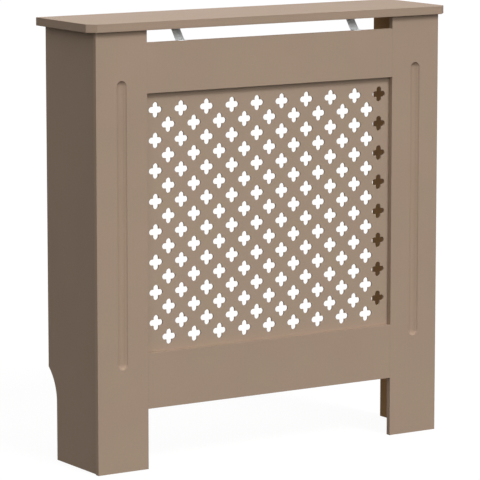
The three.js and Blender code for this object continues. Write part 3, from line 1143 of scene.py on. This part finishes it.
# ---------------- brace straps
@dataclass
class Straps:
    """Steel straps from the upper rail's top edge up to the underside of the shelf."""

    thickness: float = 1.2 * MM
    slope: float = math.radians(51.3)
    bend_radius: float = 5 * MM
    corner: float = 4 * MM
    arris: float = 0.2 * MM
    bend_steps: int = 10
    corner_steps: int = 5

    def build(self, finishes: Finishes) -> None:
        """Models the right strap, copies it to the left, and dresses both."""
        dress_pair(self._model(), "brace_strap", finishes.strap)

    def _model(self) -> Piece:
        """The right strap, drawn out from its lower tab and then thickened."""
        box = Box.of("brace_strap_right")
        foot = Box.of("upper_rail").hi.y + self.thickness / 2
        low, high = box.lo.z + self.thickness / 2, box.hi.z - self.thickness / 2
        bend_rise = self.bend_radius * (1 - math.cos(self.slope))
        bend_run = self.bend_radius * math.sin(self.slope)
        rise = high - low - 2 * bend_rise
        run = rise / math.tan(self.slope)
        top_middle = Vector((box.centre.x, foot + 2 * bend_run + run, high))
        deselect_all()
        tab_middle = (box.centre.x, (box.lo.y + foot) / 2, low)
        bpy.ops.mesh.primitive_plane_add(size=1, location=tab_middle)
        strap = bpy.context.object
        strap.scale = (box.size.x, foot - box.lo.y, 1)
        settle(strap, "strap_steel_right")
        along_x = (1, 0, 0)
        low_centre = Vector((0, foot, low + self.bend_radius))
        bend_round(strap, behind(foot), low_centre, along_x, -self.slope, self.bend_steps)
        end = foot + bend_run
        draw_out(strap, behind(end), Vector((0, run, rise)))
        high_centre = top_middle - Vector((0, 0, self.bend_radius))
        bend_round(strap, behind(end + run), high_centre, along_x, self.slope, self.bend_steps)
        draw_out(strap, behind(top_middle.y), Vector((0, box.hi.y - top_middle.y, 0)))
        round_corners(
            strap,
            lambda p: p.y < box.lo.y + NEAR or p.y > box.hi.y - NEAR,
            self.corner,
            self.corner_steps,
        )
        apply_modifier(strap, "SOLIDIFY", thickness=self.thickness, offset=0)
        ease(strap, self.arris)
        return strap


# ---------------- cams
@dataclass
class Cams:
    """Cast cam discs in the side panels, each with a crossed slot in its face."""

    rim: float = 0.5 * MM
    dish: float = 0.4 * MM
    dish_margin: float = 1.6 * MM
    slot_reach: float = 8 * MM
    slot_width: float = 1.6 * MM
    slot_depth: float = 2.2 * MM
    bolt_clearance: float = 4.1 * MM
    bolt_seat: float = 3.5 * MM

    def build(self, finishes: Finishes) -> None:
        """Models and dresses the four cams."""
        for hand in HANDS:
            for spot in SPOTS:
                node = f"cam_{hand}_{spot}"
                cam = self._model(Box.of(node), sign_of(hand), node)
                dress(cam, node, finishes.cam)

    def _model(self, box: Box, sign: int, node: str) -> Piece:
        """One cam, with its slotted face to the inside of the cover.

        Args:
            box: the node's box.
            sign: -1 on the left side, 1 on the right side.
            node: the node's name.

        Returns:
            The cam.
        """
        middle, reach = box.centre, box.size.x / 2
        outer = middle + Vector((sign * reach, 0, 0))
        inner = middle - Vector((sign * reach, 0, 0))
        cam = rod(f"{node}_disc", box.size.z / 2, outer, inner)
        with editing(cam, "FACE", lambda spot, normal: normal.x * sign < -SQUARE_ON):
            bpy.ops.mesh.inset(thickness=self.dish_margin)
            bpy.ops.transform.translate(value=(sign * self.dish, 0, 0))
        half, wide = self.slot_reach / 2, self.slot_width / 2
        for y_half, z_half in ((half, wide), (wide, half)):
            low = Vector((inner.x - self.slot_depth, middle.y - y_half, middle.z - z_half))
            high = Vector((inner.x + self.slot_depth, middle.y + y_half, middle.z + z_half))
            cut(cam, block("slot_cutter", low, high))
        ease(cam, self.rim / 2)
        shank = Box.of(node.replace("cam", "cam_bolt")).centre
        mouth = Vector((shank.x, shank.y, box.hi.z + self.bolt_clearance))
        seat = Vector((shank.x, shank.y, box.centre.z - self.bolt_seat))
        cut(cam, rod("bolt_slot_cutter", self.bolt_clearance, seat, mouth))
        return cam


# ---------------- wall brackets
@dataclass
class Brackets:
    """Bent steel angles in the rear corners, each with a hole for a wall screw."""

    thickness: float = 1.5 * MM
    bend_radius: float = 2.2 * MM
    corner: float = 5 * MM
    wall_hole: float = 2.6 * MM
    hole_setback: float = 14.5 * MM
    bend_steps: int = 8
    corner_steps: int = 6
    hole_facets: int = 48
    arris: float = 0.2 * MM
    overcut: float = 1 * MM

    def build(self, finishes: Finishes) -> None:
        """Models the right bracket, copies it to the left, and dresses both."""
        dress_pair(self._model(), "wall_bracket", finishes.strap)

    def _model(self) -> Piece:
        """The right bracket: one leg, its bend, and the other leg, thickened and drilled."""
        box = Box.of("wall_bracket_right")
        half = self.thickness / 2
        side, wall = box.hi.x - half, box.hi.y - half
        deselect_all()
        front, bend_front = box.lo.y, wall - self.bend_radius
        bend_side = side - self.bend_radius
        bpy.ops.mesh.primitive_plane_add(
            size=1,
            location=(side, (front + bend_front) / 2, box.centre.z),
            rotation=(0, QUARTER_TURN, 0),
        )
        plate = bpy.context.object
        plate.scale = (box.size.z, bend_front - front, 1)
        settle(plate, "bracket_steel_right")
        centre = (bend_side, bend_front, box.centre.z)
        bend_round(plate, behind(bend_front), centre, (0, 0, 1), -QUARTER_TURN, self.bend_steps)
        draw_out(
            plate,
            lambda a, b: max(a.x, b.x) < bend_side + NEAR,
            (box.lo.x - bend_side, 0, 0),
        )
        round_corners(
            plate,
            lambda p: p.y < box.lo.y + NEAR or p.x < box.lo.x + NEAR,
            self.corner,
            self.corner_steps,
        )
        apply_modifier(plate, "SOLIDIFY", thickness=self.thickness, offset=0)
        hole_x = box.hi.x - self.hole_setback
        drill = rod(
            "wall_hole",
            self.wall_hole,
            Vector((hole_x, box.hi.y - self.thickness - self.overcut, box.centre.z)),
            Vector((hole_x, box.hi.y + self.overcut, box.centre.z)),
            self.hole_facets,
        )
        cut(plate, drill)
        ease(plate, self.arris)
        return plate


# ---------------- joinery inside the boards
@dataclass
class HiddenJoinery:
    """Dowels and cam bolts, whose own solids stay and get their finish."""

    def build(self, finishes: Finishes) -> None:
        """Coats each dowel and bolt of the frame."""
        for prefix, material in (("dowel_", finishes.dowel), ("cam_bolt_", finishes.screw)):
            for node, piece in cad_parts.items():
                if node.startswith(prefix):
                    coat(piece, material)


# ---------------- studio
@dataclass(frozen=True)
class Lamp:
    """One broad, far lamp, so that the shelf and the feet are lit alike."""

    name: str
    strength: float
    spread: float
    height: float
    side: float

    def hang(self) -> None:
        """Adds the lamp: its height above the floor and its turn to the right are angles."""
        light = bpy.data.lights.new(self.name, "SUN")
        light.energy = self.strength
        light.angle = math.radians(self.spread)
        lamp = bpy.data.objects.new(self.name, light)
        tilt = QUARTER_TURN - math.radians(self.height)
        lamp.rotation_euler = (tilt, 0, math.radians(self.side))
        bpy.context.scene.collection.objects.link(lamp)


@dataclass
class Studio:
    """The floor, the lights and the camera."""

    floor_reach: float = 60.0
    floor_glow: float = 0.93
    floor_shade: float = 0.08
    floor_bounce: float = 0.02
    sky: float = 0.43
    backdrop: float = 1.0
    lamps: tuple[Lamp, ...] = (
        Lamp("key_lamp", strength=1.83, spread=18, height=46, side=10),
        Lamp("fill_lamp", strength=1.02, spread=50, height=15, side=0),
        Lamp("left_lamp", strength=0.47, spread=50, height=18, side=-60),
        Lamp("back_lamp", strength=1.6, spread=40, height=20, side=168),
    )
    camera_place: tuple[float, float, float] = (-3.1995, -4.9649, 1.2995)
    camera_yaw: float = math.radians(32.683)
    camera_pitch: float = math.radians(8.776)
    lens: float = 240.0

    def build(self) -> None:
        """Makes the whole studio."""
        self._world()
        self._floor()
        for lamp in self.lamps:
            lamp.hang()
        self._camera()
        bpy.context.scene.view_settings.view_transform = "Standard"

    def _world(self) -> None:
        """A plain grey sky for light, seen as white."""
        world = bpy.data.worlds.new("studio_sky")
        bpy.context.scene.world = world
        world.use_nodes = True
        bench = NodeBench(world.node_tree)
        sky, backdrop = (
            bench.add("ShaderNodeBackground", {"Color": grey(1), "Strength": strength})
            for strength in (self.sky, self.backdrop)
        )
        bench.show("ShaderNodeOutputWorld", sky.outputs[0], backdrop.outputs[0])

    def _floor(self) -> None:
        """A pale floor that shows the object's shadow faintly."""
        deselect_all()
        bpy.ops.mesh.primitive_plane_add(size=self.floor_reach)
        floor = bpy.context.object
        floor.name = "studio_floor"
        material = bpy.data.materials.new("studio_floor")
        material.use_nodes = True
        bench = NodeBench(material.node_tree)
        bounce, shade = (
            bench.add("ShaderNodeBsdfDiffuse", {"Color": grey(level)})
            for level in (self.floor_bounce, self.floor_shade)
        )
        glow = bench.add("ShaderNodeEmission", {"Strength": self.floor_glow})
        shown = bench.add("ShaderNodeAddShader", {0: shade.outputs[0], 1: glow.outputs[0]})
        bench.show("ShaderNodeOutputMaterial", bounce.outputs[0], shown.outputs[0])
        floor.data.materials.append(material)

    def _camera(self) -> None:
        """The camera at the photograph's viewing angle."""
        data = bpy.data.cameras.new("photo_camera")
        data.sensor_width = 36.0
        data.lens = self.lens
        data.clip_end = 200.0
        camera = bpy.data.objects.new("photo_camera", data)
        camera.location = self.camera_place
        camera.rotation_euler = (QUARTER_TURN - self.camera_pitch, 0, -self.camera_yaw)
        bpy.context.scene.collection.objects.link(camera)
        bpy.context.scene.camera = camera


def main() -> None:
    """Builds the studio and the cover, piece by piece."""
    logging.basicConfig(level=logging.INFO, format="%(name)s: %(message)s")
    Studio().build()
    finishes = Finishes()
    for part in (
        Shelf(),
        SidePanels(),
        FrontFrame(),
        Grille(),
        Battens(),
        Straps(),
        Cams(),
        Brackets(),
        Screws(),
        HiddenJoinery(),
    ):
        part.build(finishes)
        log.info("%s built", type(part).__name__)


if __name__ == "__main__":
    main()
